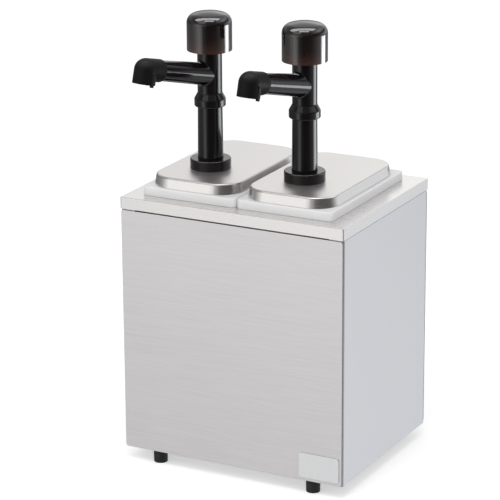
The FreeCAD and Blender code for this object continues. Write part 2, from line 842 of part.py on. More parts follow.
def power_inlet():
    mouth = half_depth + inlet_flange_thickness
    flange = block(inlet_offset - inlet_flange_width / 2, inlet_offset + inlet_flange_width / 2,
                   half_depth, mouth, control_z - inlet_flange_height / 2, control_z + inlet_flange_height / 2)
    corners = [edge for edge in flange.Edges
               if edge.BoundBox.XLength < sheet / 100 and edge.BoundBox.ZLength < sheet / 100]
    flange = flange.makeFillet(inlet_corner_radius, corners)
    back = rear_inner_y - inlet_body_depth
    left = inlet_offset - inlet_body_width / 2
    right = inlet_offset + inlet_body_width / 2
    low = control_z - inlet_body_height / 2
    high = control_z + inlet_body_height / 2
    body = block(left, right, back, half_depth, low, high)
    cavity = block(left + inlet_wall, right - inlet_wall, back + inlet_wall, mouth + cut_overrun,
                   low + inlet_wall, high - inlet_wall)
    screw_places = [inlet_offset + side * inlet_screw_pitch / 2 for side in (-1, 1)]
    holes = [rod(screw_hole_radius, V(x, half_depth - cut_overrun, control_z), V(x, mouth + cut_overrun, control_z))
             for x in screw_places]
    inlet = united([flange, body]).cut([cavity] + holes)
    pins = []
    for way in (-1, 0, 1):
        x = inlet_offset + way * inlet_pin_pitch / 2
        z = control_z + (inlet_pin_offset if way == 0 else -inlet_pin_offset)
        pins.append(block(x - inlet_pin_width / 2, x + inlet_pin_width / 2, back - inlet_tab_length,
                          mouth - inlet_pin_recess, z - inlet_pin_height / 2, z + inlet_pin_height / 2))
    return united([inlet] + pins)


def block_way_x(way):
    return block_offset + (way - (block_ways - 1) / 2) * block_width / block_ways


def terminal_block():
    body = block(block_offset - block_width / 2, block_offset + block_width / 2,
                 -block_length / 2, block_length / 2, pan_top_z, pan_top_z + block_height)
    cuts = []
    middle_z = pan_top_z + block_height / 2
    for way in range(block_ways):
        x = block_way_x(way)
        cuts.append(rod(block_hole_radius, V(x, -block_length / 2 - cut_overrun, middle_z),
                        V(x, block_length / 2 + cut_overrun, middle_z)))
        cuts.append(post(block_screw_radius, x, 0, pan_top_z + block_height - block_screw_depth,
                         pan_top_z + block_height + cut_overrun))
    return body.cut(cuts)


def internal_wires():
    """Leads from the inlet, switch and thermostat to the block, and up to the element and cut-out."""
    block_z = pan_top_z + block_height / 2
    block_back = block_length / 2 + wire_end_gap
    block_front = -block_length / 2 - wire_end_gap
    inlet_back = rear_inner_y - inlet_body_depth - inlet_tab_length - wire_end_gap
    switch_back = rear_inner_y - switch_body_depth - wire_end_gap
    thermostat_back = rear_inner_y - thermostat_body_depth - wire_end_gap
    first = block_way_x(0)
    second = block_way_x(1)
    third = block_way_x(2)
    fourth = block_way_x(3)
    live_x = inlet_offset - inlet_pin_pitch / 2
    live_z = control_z - inlet_pin_offset
    pin_x = element_pitch * 3 / 2
    pin_y = element_back + element_pin_length + wire_end_gap
    low_z = block_z
    routes = [
        [V(live_x, inlet_back, live_z), V(live_x, inlet_back - wire_drop, live_z),
         V(first, block_back + wire_drop, low_z), V(first, block_back, low_z)],
        [V(switch_offset, switch_back, control_z), V(switch_offset, switch_back - wire_drop, control_z),
         V(third, block_back + wire_drop, low_z), V(third, block_back, low_z)],
        [V(thermostat_offset, thermostat_back, control_z),
         V(thermostat_offset, thermostat_back - wire_drop, control_z),
         V(fourth, block_back + wire_drop, low_z), V(fourth, block_back, low_z)],
        [V(-pin_x, pin_y, element_z), V(-pin_x, pin_y + wire_drop / 2, element_z),
         V(-pin_x, pin_y + wire_drop / 2, element_z - wire_drop * 2),
         V(second, block_back + wire_drop, low_z), V(second, block_back, low_z)],
        [V(-cutout_radius / 2, 0, spreader_z - cutout_height - cutout_blade_length - wire_end_gap),
         V(-cutout_radius / 2, 0, spreader_z - cutout_height - cutout_blade_length - wire_drop),
         V(fourth, block_front - wire_drop, low_z), V(fourth, block_front, low_z)]]
    return group([bent_tube(route, wire_radius, wire_bend_share) for route in routes])


# Fasteners

def hex_nuts():
    nut = hex_nut()
    nuts = [placed(nut, V(x, y, well_top_z - sheet - nut_thickness), UP) for x, y in well_stud_places()]
    nuts += [placed(nut, V(x, y, clamp_z - nut_thickness), UP) for x, y in clamp_stud_places()]
    nuts += [placed(nut, V(x, y, pan_top_z), UP) for x, y in foot_places().values()]
    front_seat = -half_depth + panel_thickness + sheet
    rear_seat = half_depth - panel_thickness - sheet
    for side in (-1, 1):
        for z in panel_stud_heights:
            nuts.append(placed(nut, V(side * panel_stud_x, front_seat, z), BACK))
            nuts.append(placed(nut, V(side * panel_stud_x, rear_seat, z), -BACK))
        x = inlet_offset + side * inlet_screw_pitch / 2
        nuts.append(placed(nut, V(x, rear_inner_y, control_z), -BACK))
    return group(nuts)


def foot_screws():
    length = foot_height - foot_recess_depth + sheet + nut_thickness + stud_spare
    screw = pan_screw(length)
    return group([placed(screw, V(x, y, foot_recess_depth), UP) for x, y in foot_places().values()])


def panel_screws():
    panel_screw = pan_screw(panel_thickness + sheet + nut_thickness + stud_spare)
    inlet_screw = pan_screw(inlet_flange_thickness + sheet + nut_thickness + stud_spare)
    screws = [placed(panel_screw, V(side * panel_stud_x, half_depth, z), -BACK)
              for side in (-1, 1) for z in panel_stud_heights]
    screws += [placed(inlet_screw, V(inlet_offset + side * inlet_screw_pitch / 2,
                                     half_depth + inlet_flange_thickness, control_z), -BACK)
               for side in (-1, 1)]
    return group(screws)


# Jars, lids and pumps

def jar(x):
    taper = jar_draft / (jar_depth - jar_lip_height)
    spare = cut_overrun * taper
    foot_x = jar_half_x - jar_draft
    foot_y = jar_half_y - jar_draft
    foot_corner = jar_corner_radius - jar_draft
    outer = tapered(x, 0, [
        (jar_floor_z, foot_x - jar_foot_round, foot_y - jar_foot_round, foot_corner - jar_foot_round),
        (jar_floor_z + jar_foot_round, foot_x, foot_y, foot_corner),
        (jar_top_z, jar_half_x, jar_half_y, jar_corner_radius)])
    inner = tapered(x, 0, [
        (jar_floor_z + jar_wall, foot_x - jar_foot_round, foot_y - jar_foot_round,
         foot_corner - jar_foot_round),
        (jar_floor_z + jar_foot_round, foot_x - jar_wall, foot_y - jar_wall, foot_corner - jar_wall),
        (jar_top_z + cut_overrun, jar_half_x - jar_wall + spare, jar_half_y - jar_wall + spare,
         jar_corner_radius - jar_wall + spare)])
    rim = prism(x, 0, jar_width / 2, jar_length / 2, jar_lip_corner_radius, lip_z, jar_top_z)
    rim = rim.makeFillet(jar_wall / 2, edges_at_height(rim, jar_top_z))
    rim_hollow = prism(x, 0, jar_width / 2 - jar_wall, jar_length / 2 - jar_wall,
                       jar_lip_corner_radius - jar_wall, lip_z - cut_overrun, jar_top_z - jar_wall)
    return rim.cut(rim_hollow).fuse(outer).removeSplitter().cut(inner)


def lid(x, pump_x):
    top_x = lid_width / 2 - lid_flare
    top_y = lid_length / 2 - lid_flare
    top_corner = lid_corner_radius - lid_flare
    slope = lid_flare / lid_height
    outer = tapered(x, 0, [(skirt_z, lid_width / 2, lid_length / 2, lid_corner_radius),
                           (lid_z, top_x, top_y, top_corner)])
    outer = outer.makeFillet(lid_edge_round, edges_at_height(outer, lid_z))
    spare = cut_overrun * slope
    inner = tapered(x, 0, [
        (skirt_z - cut_overrun, lid_width / 2 - sheet + spare, lid_length / 2 - sheet + spare,
         lid_corner_radius - sheet + spare),
        (lid_z - sheet, top_x - sheet + sheet * slope, top_y - sheet + sheet * slope,
         top_corner - sheet + sheet * slope)])
    inner = inner.makeFillet(lid_edge_round - sheet, edges_at_height(inner, lid_z - sheet))
    hole = post(thread_radius + thread_clearance, pump_x, pump_y, skirt_z, lid_z + cut_overrun)
    return outer.cut([inner, hole])


def lid_gasket(x):
    return turned(x, pump_y, [
        (thread_radius + thread_clearance, flange_top_z), (gasket_radius, flange_top_z),
        (gasket_radius, lid_z - sheet), (thread_radius + thread_clearance, lid_z - sheet)])


def barrel(x):
    flange_low_z = flange_top_z - barrel_flange_thickness
    return turned(x, pump_y, [
        (barrel_bore_radius, barrel_low_z), (barrel_radius, barrel_low_z), (barrel_radius, flange_low_z),
        (barrel_flange_radius, flange_low_z), (barrel_flange_radius, flange_top_z),
        (thread_radius, flange_top_z), (thread_radius, barrel_top_z), (barrel_bore_radius, barrel_top_z)])


def lock_nut(x):
    under_top = nut_top_z - nut_top_thickness
    nut = turned(x, pump_y, [
        (thread_radius + thread_clearance, lid_z), (nut_radius, lid_z), (nut_radius, nut_top_z),
        (plunger_low_radius + tube_clearance, nut_top_z), (plunger_low_radius + tube_clearance, under_top),
        (thread_radius + thread_clearance, under_top)])
    rim = [edge for edge in edges_at_height(nut, nut_top_z) if edge.BoundBox.XLength > nut_radius * 2 - sheet]
    return nut.makeFillet(nut_edge_round, rim)


def suction_fitting(x):
    floor_z = seat_z - chamber_floor
    return turned(x, pump_y, [
        (barrel_radius + fitting_clearance, fitting_top_z), (fitting_radius, fitting_top_z),
        (fitting_radius, barrel_low_z - fitting_ledge_thickness), (spigot_radius + chamber_floor, floor_z),
        (spigot_radius, floor_z - chamber_floor), (spigot_radius, spigot_z),
        (suction_tube_radius + fitting_clearance, spigot_z),
        (suction_tube_radius + fitting_clearance, spigot_z + suction_tube_engagement),
        (suction_seat_radius, spigot_z + suction_tube_engagement), (suction_seat_radius, seat_z),
        (chamber_radius, seat_z), (chamber_radius, barrel_low_z - fitting_clearance - chamber_lip_height),
        (chamber_radius - chamber_lip_reach, barrel_low_z - fitting_clearance - chamber_lip_height),
        (chamber_radius - chamber_lip_reach, barrel_low_z - fitting_clearance),
        (barrel_radius + fitting_clearance, barrel_low_z - fitting_clearance)])


def seated_ball(x, radius, seat_radius, z):
    rise = math.sqrt(radius ** 2 - seat_radius ** 2) + ball_gap
    return Part.makeSphere(radius, V(x, pump_y, z + rise))


def suction_tube(x):
    low_z = jar_floor_z + jar_wall + suction_tube_floor_gap
    high_z = spigot_z + suction_tube_engagement - fitting_clearance
    return turned(x, pump_y, [
        (suction_tube_bore_radius, low_z), (suction_tube_radius, low_z),
        (suction_tube_radius, high_z), (suction_tube_bore_radius, high_z)])


def return_spring(x):
    """Tilted half turns that meet end to end."""
    low_z = barrel_low_z - fitting_clearance + spring_end_gap + spring_wire_radius
    high_z = piston_z - spring_end_gap - spring_wire_radius
    rise = (high_z - low_z) / (spring_turns * 2)
    halves = []
    for half in range(spring_turns * 2):
        side = 1 if half % 2 == 0 else -1
        start = V(x + side * spring_radius, pump_y, low_z + half * rise)
        centre = V(x, pump_y, low_z + half * rise + rise / 2)
        section = Part.Face(Part.Wire([Part.makeCircle(spring_wire_radius, start, BACK)]))
        halves.append(section.revolve(centre, (start - centre).cross(BACK * side), 180))
    return united(halves)


def plunger_tube(x):
    groove_low = piston_z + seal_offset
    groove_high = groove_low + seal_height + seal_clearance * 2
    chamber_low = piston_z + valve_floor
    chamber_high = chamber_low + valve_chamber_height
    lip_radius = valve_chamber_radius - valve_lip_reach
    return turned(x, pump_y, [
        (discharge_seat_radius, piston_z), (piston_radius, piston_z), (piston_radius, groove_low),
        (seal_groove_radius, groove_low), (seal_groove_radius, groove_high), (piston_radius, groove_high),
        (piston_radius, piston_z + piston_height), (plunger_low_radius, piston_z + piston_height),
        (plunger_low_radius, nut_top_z), (plunger_high_radius, collar_z), (plunger_high_radius, plunger_top_z),
        (plunger_bore_radius, plunger_top_z), (plunger_bore_radius, chamber_high + valve_lip_height),
        (lip_radius, chamber_high + valve_lip_height), (lip_radius, chamber_high),
        (valve_chamber_radius, chamber_high), (valve_chamber_radius, chamber_low),
        (discharge_seat_radius, chamber_low)])


def piston_seal(x):
    low_z = piston_z + seal_offset + seal_clearance
    inner = seal_groove_radius + seal_clearance
    outer = barrel_bore_radius - seal_clearance
    return turned(x, pump_y, [(inner, low_z), (outer, low_z), (outer, low_z + seal_height),
                              (inner, low_z + seal_height)])


def spout_direction():
    """Along the spout, for a spout that points to the front."""
    slope = math.radians(spout_slope)
    return V(0, -math.cos(slope), math.sin(slope))


def outlet_direction():
    slope = math.radians(spout_slope)
    return V(0, -math.sin(slope), -math.cos(slope))


def turned_to_yaw(shape, x, yaw):
    moved = shape.copy()
    moved.rotate(V(x, pump_y, 0), UP, -yaw)
    return moved


def pump_head(x, yaw):
    taper_top = collar_z + collar_height + collar_taper
    upright = turned(x, pump_y, [
        (0, collar_z), (collar_radius, collar_z), (collar_radius, collar_z + collar_height),
        (head_radius, taper_top), (head_radius, head_top_z), (0, head_top_z)])
    low_rim = [edge for edge in edges_at_height(upright, collar_z) if edge.BoundBox.XLength > sheet]
    upright = upright.makeFillet(collar_edge_round, low_rim)
    shoulders = edges_at_height(upright, collar_z + collar_height) + edges_at_height(upright, taper_top)
    upright = upright.makeFillet(collar_shoulder_round, shoulders)
    root = V(x, pump_y, spout_z)
    along = spout_direction()
    spout_length = nozzle_reach - nozzle_bore_radius
    taper_length = spout_length - spout_straight
    cone = Part.makeCone(spout_root_radius, spout_end_radius, taper_length, root, along)
    straight = rod(spout_end_radius, root + along * taper_length, root + along * spout_length)
    outer = united([upright, cone, straight])
    saddle = [edge for edge in outer.Edges
              if type(edge.Curve).__name__ not in ("Circle", "Line")
              and edge.CenterOfMass.distanceToPoint(root) < spout_root_radius * 2]
    outer = outer.makeFillet(spout_root_fillet, saddle)
    socket = post(plunger_high_radius + socket_clearance, x, pump_y, collar_z - cut_overrun,
                  plunger_top_z + socket_clearance)
    bore = post(head_bore_radius, x, pump_y, collar_z, knob_z - head_closure)
    plug_hole = post(plug_radius + plug_clearance, x, pump_y, head_top_z - plug_socket_depth,
                     head_top_z + cut_overrun)
    spout_bore = rod(spout_bore_radius, root, root + along * (spout_length + cut_overrun))
    return turned_to_yaw(outer.cut([socket, bore, plug_hole, spout_bore]), x, yaw)


def nozzle(x, yaw):
    root = V(x, pump_y, spout_z)
    along = spout_direction()
    down = outlet_direction()
    elbow = root + along * nozzle_reach
    spout_end = root + along * (nozzle_reach - nozzle_bore_radius)
    sleeve_start = spout_end - along * nozzle_sleeve_length
    outlet = elbow + down * nozzle_drop
    sleeve = Part.makeCylinder(nozzle_radius, (elbow - sleeve_start).Length)
    sleeve = sleeve.makeFillet(nozzle_sleeve_round, edges_at_height(sleeve, 0))
    outer = united([placed(sleeve, sleeve_start, along), Part.makeSphere(nozzle_radius, elbow),
                    rod(nozzle_radius, elbow, outlet)])
    lug = block(nozzle_radius - nozzle_lug_depth / 2, nozzle_radius + nozzle_lug_depth / 2,
                -nozzle_lug_width / 2, nozzle_lug_width / 2,
                nozzle_drop + nozzle_lug_drop - nozzle_lug_height, nozzle_drop + nozzle_lug_drop)
    lug.Placement = FreeCAD.Placement(elbow, FreeCAD.Rotation(V(1, 0, 0), 180 - spout_slope))
    outer = united([outer, lug])
    cuts = [rod(spout_end_radius + nozzle_clearance, sleeve_start - along * cut_overrun,
                spout_end + along * nozzle_clearance),
            rod(nozzle_bore_radius, spout_end, elbow), Part.makeSphere(nozzle_bore_radius, elbow),
            rod(nozzle_bore_radius, elbow, outlet + down * cut_overrun)]
    return turned_to_yaw(outer.cut(cuts), x, yaw)


def dome_outline(radius, side_height, dome_height, shoulder):
    """Half outline of a domed cap from its side's top to its crown, as two tangent arcs."""
    reach = radius - shoulder
    crown = (reach ** 2 + dome_height ** 2 - shoulder ** 2) / (2 * (dome_height - shoulder))
    crown_z = side_height + dome_height - crown
    lean = math.atan2(reach, side_height - crown_z)
    join = (reach + shoulder * math.sin(lean), side_height + shoulder * math.cos(lean))
    shoulder_middle = (math.pi / 2 + lean) / 2
    first_middle = (reach + shoulder * math.sin(shoulder_middle), side_height + shoulder * math.cos(shoulder_middle))
    second_middle = (crown * math.sin(lean / 2), crown_z + crown * math.cos(lean / 2))
    return (radius, side_height), first_middle, join, second_middle, (0, side_height + dome_height)


def cap_solid(x, z, radius, side_height, dome_height, shoulder, low):
    points = [V(x + reach, pump_y, z + height)
              for reach, height in dome_outline(radius, side_height, dome_height, shoulder)]
    base_axis = V(x, pump_y, z + low)
    base_rim = V(x + radius, pump_y, z + low)
    edges = [Part.makeLine(base_axis, base_rim), Part.makeLine(base_rim, points[0]),
             Part.Arc(points[0], points[1], points[2]).toShape(),
             Part.Arc(points[2], points[3], points[4]).toShape(), Part.makeLine(points[4], base_axis)]
    return Part.Face(Part.Wire(edges)).revolve(V(x, pump_y, 0), UP, 360)


def knob(x):
    side_height = knob_height - knob_dome_height
    outer = cap_solid(x, knob_z, knob_radius, side_height, knob_dome_height, knob_shoulder_radius, 0)
    inner = cap_solid(x, knob_z, knob_radius - knob_wall, side_height, knob_dome_height - knob_wall,
                      knob_shoulder_radius - knob_wall, -cut_overrun)
    shell = outer.cut(inner)
    crown_z = knob_z + knob_height - knob_wall / 2
    stem = post(head_radius - sheet, x, pump_y, head_top_z, crown_z)
    stem = stem.common(outer)
    plug = post(plug_radius, x, pump_y, head_top_z - plug_socket_depth + plug_clearance, head_top_z)
    return united([shell, stem, plug])


# All the nodes

def shell_nodes():
    right = side_panel()
    nodes = {
        "top_deck": top_deck(),
        "front_panel": front_panel(),
        "rear_panel": rear_panel(),
        "right_side_panel": right,
        "left_side_panel": mirrored(right),
        "bottom_pan": bottom_pan(),
        "badge_plate": badge_plate(),
        "hex_nuts": hex_nuts(),
        "foot_screws": foot_screws(),
        "panel_screws": panel_screws()}
    for name, (x, y) in foot_places().items():
        nodes[name + "_foot"] = foot(x, y)
    return nodes


def heating_nodes():
    return {
        "warming_well": warming_well(),
        "insulation_wrap": insulation_wrap(),
        "heat_spreader_plate": heat_spreader_plate(),
        "heating_element": heating_element(),
        "element_clamps": element_clamps(),
        "thermostat_bulb": thermostat_bulb(),
        "thermal_cutout": thermal_cutout(),
        "thermostat_body": thermostat_body(),
        "thermostat_spindle": thermostat_spindle(),
        "thermostat_knob": thermostat_knob(),
        "switch_housing": switch_housing(),
        "switch_rocker": switch_rocker(),
        "pilot_lamp": pilot_lamp(),
        "power_inlet": power_inlet(),
        "terminal_block": terminal_block(),
        "internal_wires": internal_wires()}


def pump_nodes(side, well_x, yaw):
    """One jar with its lid and pump, each set over within the play of its fit."""
    jar_x = well_x + jar_shift
    lid_x = jar_x + lid_shift
    x = lid_x + pump_offset
    return {
        side + "_jar": jar(jar_x),
        side + "_lid": lid(lid_x, x),
        side + "_lid_gasket": lid_gasket(x),
        side + "_lock_nut": lock_nut(x),
        side + "_barrel": barrel(x),
        side + "_suction_fitting": suction_fitting(x),
        side + "_suction_tube": suction_tube(x),
        side + "_suction_ball": seated_ball(x, suction_ball_radius, suction_seat_radius, seat_z),
        side + "_return_spring": return_spring(x),
        side + "_plunger_tube": plunger_tube(x),
        side + "_piston_seal": piston_seal(x),
        side + "_discharge_ball": seated_ball(x, discharge_ball_radius, discharge_seat_radius,
                                              piston_z + valve_floor),
        side + "_pump_head": pump_head(x, yaw),
        side + "_nozzle": nozzle(x, yaw),
        side + "_knob": knob(x)}


def main():
    os.makedirs("parts", exist_ok=True)
    nodes = shell_nodes()
    nodes.update(heating_nodes())
    nodes.update(pump_nodes("left", -jar_pitch / 2, left_spout_yaw))
    nodes.update(pump_nodes("right", jar_pitch / 2, right_spout_yaw))
    for name, shape in nodes.items():
        shape.exportStep("parts/" + name + ".step")
        box = shape.BoundBox
        print(name, len(shape.Solids), shape.isValid(), round(shape.Volume / 1000, 2),
              [round(value, 1) for value in (box.XMin, box.YMin, box.ZMin, box.XMax, box.YMax, box.ZMax)])
    print("nodes", len(nodes))


main()
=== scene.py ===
import json
import math

import bmesh
import bpy
from mathutils import Matrix, Vector


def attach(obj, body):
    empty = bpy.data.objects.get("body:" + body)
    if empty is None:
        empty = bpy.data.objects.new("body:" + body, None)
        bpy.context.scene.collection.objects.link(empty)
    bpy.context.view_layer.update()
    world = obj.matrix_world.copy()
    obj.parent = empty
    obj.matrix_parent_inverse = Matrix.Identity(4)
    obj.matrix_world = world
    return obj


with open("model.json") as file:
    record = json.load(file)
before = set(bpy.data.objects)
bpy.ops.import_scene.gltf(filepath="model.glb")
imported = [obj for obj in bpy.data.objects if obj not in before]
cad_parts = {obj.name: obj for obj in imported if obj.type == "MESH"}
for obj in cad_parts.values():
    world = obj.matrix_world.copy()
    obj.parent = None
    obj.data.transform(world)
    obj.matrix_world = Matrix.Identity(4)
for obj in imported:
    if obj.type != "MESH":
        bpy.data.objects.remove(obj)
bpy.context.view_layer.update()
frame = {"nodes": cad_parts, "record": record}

MM = 0.001

# Camera: where it stands in the part's frame, and how it is turned
CAMERA_PLACE = Vector((1.17635, -2.29588, 1.04606))
CAMERA_AZIMUTH = math.radians(27.7467)
CAMERA_ELEVATION = math.radians(17.6685)
CAMERA_ROLL = math.radians(-0.3460)
CAMERA_LENS = 182.6
CAMERA_REACH = 50.0
SENSOR_WIDTH = 36.0

# Floor: size in metres, range of the base colour and scale of its grain, and a faint glow that
# keeps it pale
FLOOR_SIZE = 9.0
FLOOR_TONES = (0.93, 0.95)
FLOOR_GRAIN = 40.0
FLOOR_ROUGHNESS = 0.9
FLOOR_GLOSS = 0.1
FLOOR_GLOW = 0.42

# Soft lights for the whole object: azimuth and elevation in degrees, distance and size in metres,
# power in watts
LIGHTS = {
    "front_left_softbox": {"azimuth": -18, "elevation": 42, "distance": 2.3, "size": (1.5, 1.3),
                           "power": 6, "colour": (1.0, 0.985, 0.965)},
    "overhead_softbox": {"azimuth": 24, "elevation": 63, "distance": 1.5, "size": (0.9, 0.34),
                         "power": 5, "colour": (1.0, 1.0, 1.0)},
}
LIGHT_AIM = Vector((0, 0, 0.3))

# Strip and ceiling softboxes for the pumps alone: where each stands and faces, its size, its
# brightness, and the ends of the names of the nodes that it lights
PUMP_PIECES = ("pump_head", "plunger_tube", "knob", "nozzle", "lock_nut")
NOT_A_PUMP = "thermostat"
PUMP_LIGHTS = {
    "wide_strip": {"place": (0.692, 0.539, 0.165), "aim": (-0.008, -0.027, 0.165), "size": (0.5, 0.24),
                   "brightness": 5.0, "pieces": PUMP_PIECES},
    "narrow_strip": {"place": (0.672, 0.539, 0.165), "aim": (-0.008, -0.027, 0.165),
                     "size": (0.31, 0.24), "brightness": 7.0, "pieces": ("knob",)},
    "ceiling_softbox": {"place": (-0.36, -0.25, 1.7), "aim": (-0.36, -0.25, 0), "size": (2.4, 0.66),
                        "brightness": 4.8, "pieces": PUMP_PIECES},
}
PUMP_LIGHT_COLOUR = (0.955, 0.975, 1.0)

# What the room looks like in reflections: for each height of the ray (the sine of its elevation),
# azimuths in degrees from the front towards the right, with the brightness there
ROOM_ROWS = (
    (-0.55, ((-180, 0.5), (-60, 0.5), (-25, 0.6), (20, 0.4), (90, 0.4), (130, 0.7), (160, 0.7),
             (180, 0.5))),
    (-0.37, ((-180, 0.45), (-110, 0.45), (-75, 0.35), (-46, 0.25), (-34, 0.4), (-23, 1.0), (-12, 0.9),
             (-2, 0.45), (18, 0.25), (34, 0.25), (60, 0.5), (92, 0.55), (112, 0.85), (130, 1.15),
             (152, 1.0), (170, 0.6), (180, 0.45))),
    (-0.27, ((-180, 0.3), (-142, 0.35), (-110, 0.32), (-75, 0.25), (-46, 0.25), (-34, 0.75),
             (-23, 1.85), (-13, 1.5), (-2, 0.3), (18, 0.06), (34, 0.05), (60, 0.08), (80, 0.28),
             (100, 0.65), (125, 1.1), (150, 1.05), (170, 0.4), (180, 0.3))),
    (-0.2, ((-180, 0.3), (-110, 0.25), (-75, 0.4), (-58, 0.62), (-42, 1.15), (-27, 1.4), (-16, 0.9),
            (-2, 0.18), (18, 0.05), (34, 0.05), (60, 0.08), (80, 0.28), (100, 0.55), (125, 0.9),
            (150, 0.9), (170, 0.3), (180, 0.3))),
    (0.05, ((-180, 0.8), (-148, 0.3), (-118, 0.1), (-88, 0.15), (-66, 0.35), (-46, 0.8), (-30, 1.5),
            (-16, 1.3), (2, 0.55), (22, 0.1), (40, 0.05), (80, 0.05), (96, 0.1), (112, 0.45),
            (132, 1.05), (152, 1.3), (180, 0.8))),
    (0.32, ((-180, 1.1), (-164, 1.55), (-146, 1.1), (-120, 0.5), (-60, 0.3), (0, 0.25), (60, 0.15),
            (150, 0.2), (166, 0.6), (180, 1.1))),
    (0.6, ((-180, 0.75), (-152, 0.85), (-110, 0.35), (-60, 0.25), (60, 0.2), (90, 0.9), (120, 1.9),
           (150, 1.2), (180, 0.75))),
    (0.9, ((-180, 0.6), (-120, 0.5), (-60, 0.4), (40, 0.4), (120, 0.7), (180, 0.6))),
)
# The ramps hold shares of the peak; past the cool azimuth, red and blue differ from green
ROOM_PEAK = 2.0
ROOM_COOL_FROM = 100
ROOM_COOL_RED = 0.97
ROOM_COOL_BLUE = 1.04
ROOM_LIGHT = 0.62
BACKDROP = 1.04
WHITE = (1, 1, 1, 1)

# Brushing: for each size of streak, its noise scale along and across the grain, detail and share
STREAKS = ((30, 1900, 3.0, 0.34), (22, 800, 4.0, 0.36), (7, 150, 2.0, 0.16))
CLOUD_SCALE = 9
CLOUD_SHARE = 0.14
# Range of the mixed streaks, what it takes from and adds to the roughness, and the depth and
# strength of the bump of the first two streaks
BRUSHED_RANGE = (0.34, 0.66)
SMOOTHER, ROUGHER = 0.02, 0.03
BRUSHED_BUMPS = ((0.00002, 0.15), (0.00001, 0.1))
# Faces count as turned away from an axis as their normal's part along it goes from the first to the
# second; turned faces get painted shade and a roughness of their own
TURNED_RANGE = (0.7, 0.5)

# Heights between which the knobs turn brown: painted glow of light through the hollow lower part
KNOB_GLOW_FADE = (0.47, 0.4425)

# Pieces that don't show in reflections, and nodes whose finish isn't the one of their slot: the side
# panels get their own copy of the panel steel, with its own grain and roughness and a darker, cooler
# colour that is painted shade
NOT_MIRRORED = ("_pump_head", "_nozzle")
FINISHES = {"left_side_panel": "brushed_sides_shaded", "right_side_panel": "brushed_sides_shaded"}

# Printed marks round the rear controls: places and sizes in millimetres, angles in degrees
REAR_FACE = 104.5
DIAL_CENTRE = (65.0, 52.0)
DIAL_START = -45
DIAL_SWEEP = 270
DIAL_TICKS = 10
TICK_RADII = (18.6, 20.8)
NUMERAL_RADIUS = 24.4
NUMERAL_SIZE = 4.6
TICK_WIDTH = 0.5
POINTER_RADIUS = 16.05
POINTER_LENGTH = 0.7
POINTER_WIDTH = 1.0
ROCKER_CENTRE = (-23.4, 52.0)
ROCKER_MARK_OFFSET = 6.0
ROCKER_MARK_SIZE = 2.0
INK = 0.05
RAY_START = 50.0
ARC_STEPS = 8
RING_STEPS = 32


# Camera and stage

def direction(azimuth, elevation):
    """Outward at an azimuth (from the front towards the right) and an elevation, in radians."""
    return Vector((math.sin(azimuth) * math.cos(elevation), -math.cos(azimuth) * math.cos(elevation),
                   math.sin(elevation)))


def make_camera():
    back = direction(CAMERA_AZIMUTH, CAMERA_ELEVATION)
    right = Vector((0, 0, 1)).cross(back).normalized()
    up = back.cross(right)
    rolled_right = right * math.cos(CAMERA_ROLL) + up * math.sin(CAMERA_ROLL)
    rolled_up = up * math.cos(CAMERA_ROLL) - right * math.sin(CAMERA_ROLL)
    data = bpy.data.cameras.new("camera")
    data.sensor_width = SENSOR_WIDTH
    data.lens = CAMERA_LENS
    data.clip_end = CAMERA_REACH
    camera = bpy.data.objects.new("camera", data)
    turn = Matrix((rolled_right, rolled_up, back)).transposed()
    camera.matrix_world = Matrix.Translation(CAMERA_PLACE) @ turn.to_4x4()
    bpy.context.scene.collection.objects.link(camera)
    bpy.context.scene.camera = camera


def area_lamp(name, size, power, colour):
    data = bpy.data.lights.new(name, "AREA")
    data.shape = "RECTANGLE"
    data.size, data.size_y = size
    data.energy = power
    data.color = colour
    lamp = bpy.data.objects.new(name, data)
    bpy.context.scene.collection.objects.link(lamp)
    return lamp


def make_lights():
    for name, light in LIGHTS.items():
        lamp = area_lamp(name, light["size"], light["power"], light["colour"])
        outward = direction(math.radians(light["azimuth"]), math.radians(light["elevation"]))
        lamp.location = LIGHT_AIM + outward * light["distance"]
        lamp.rotation_euler = outward.to_track_quat("Z", "Y").to_euler()


def make_pump_lights():
    """Lamps of a given brightness. One that faces straight down is turned with the camera."""
    for name, light in PUMP_LIGHTS.items():
        width, height = light["size"]
        lamp = area_lamp(name, light["size"], light["brightness"] * math.pi * width * height,
                         PUMP_LIGHT_COLOUR)
        lamp.location = light["place"]
        outward = Vector(light["place"]) - Vector(light["aim"])
        if outward.x or outward.y:
            lamp.rotation_euler = outward.to_track_quat("Z", "Y").to_euler()
        else:
            lamp.rotation_euler = (0, 0, CAMERA_AZIMUTH)
        lit = bpy.data.collections.new(name)
        for node_name, node in frame["nodes"].items():
            if node_name.endswith(light["pieces"]) and not node_name.startswith(NOT_A_PUMP):
                lit.objects.link(node)
        lamp.light_linking.receiver_collection = lit


def add(tree, kind, settings=None, **values):
    """A new node: its settings by attribute, and its input values by socket name or number."""
    node = tree.nodes.new(kind)
    for key, value in (settings or {}).items():
        setattr(node, key, value)
    for key, value in values.items():
        socket = node.inputs[int(key[1:])] if key[0] == "_" else node.inputs[key.replace("_", " ")]
        if isinstance(value, bpy.types.NodeSocket):
            tree.links.new(value, socket)
        else:
            socket.default_value = value
    return node


def room_row(tree, share, stops):
    """One ring of the room: brightness along the azimuths, as a share of the room's peak."""
    ramp = add(tree, "ShaderNodeValToRGB", _0=share)
    ramp.color_ramp.interpolation = "EASE"
    elements = ramp.color_ramp.elements
    while len(elements) > 1:
        elements.remove(elements[-1])
    elements[0].position = 0
    for index, (azimuth, brightness) in enumerate(stops):
        element = elements[0] if index == 0 else elements.new((azimuth + 180) / 360)
        level = brightness / ROOM_PEAK
        red, blue = (ROOM_COOL_RED, ROOM_COOL_BLUE) if azimuth > ROOM_COOL_FROM else (1, 1)
        element.color = (level * red, level, level * blue, 1)
    return ramp.outputs[0]


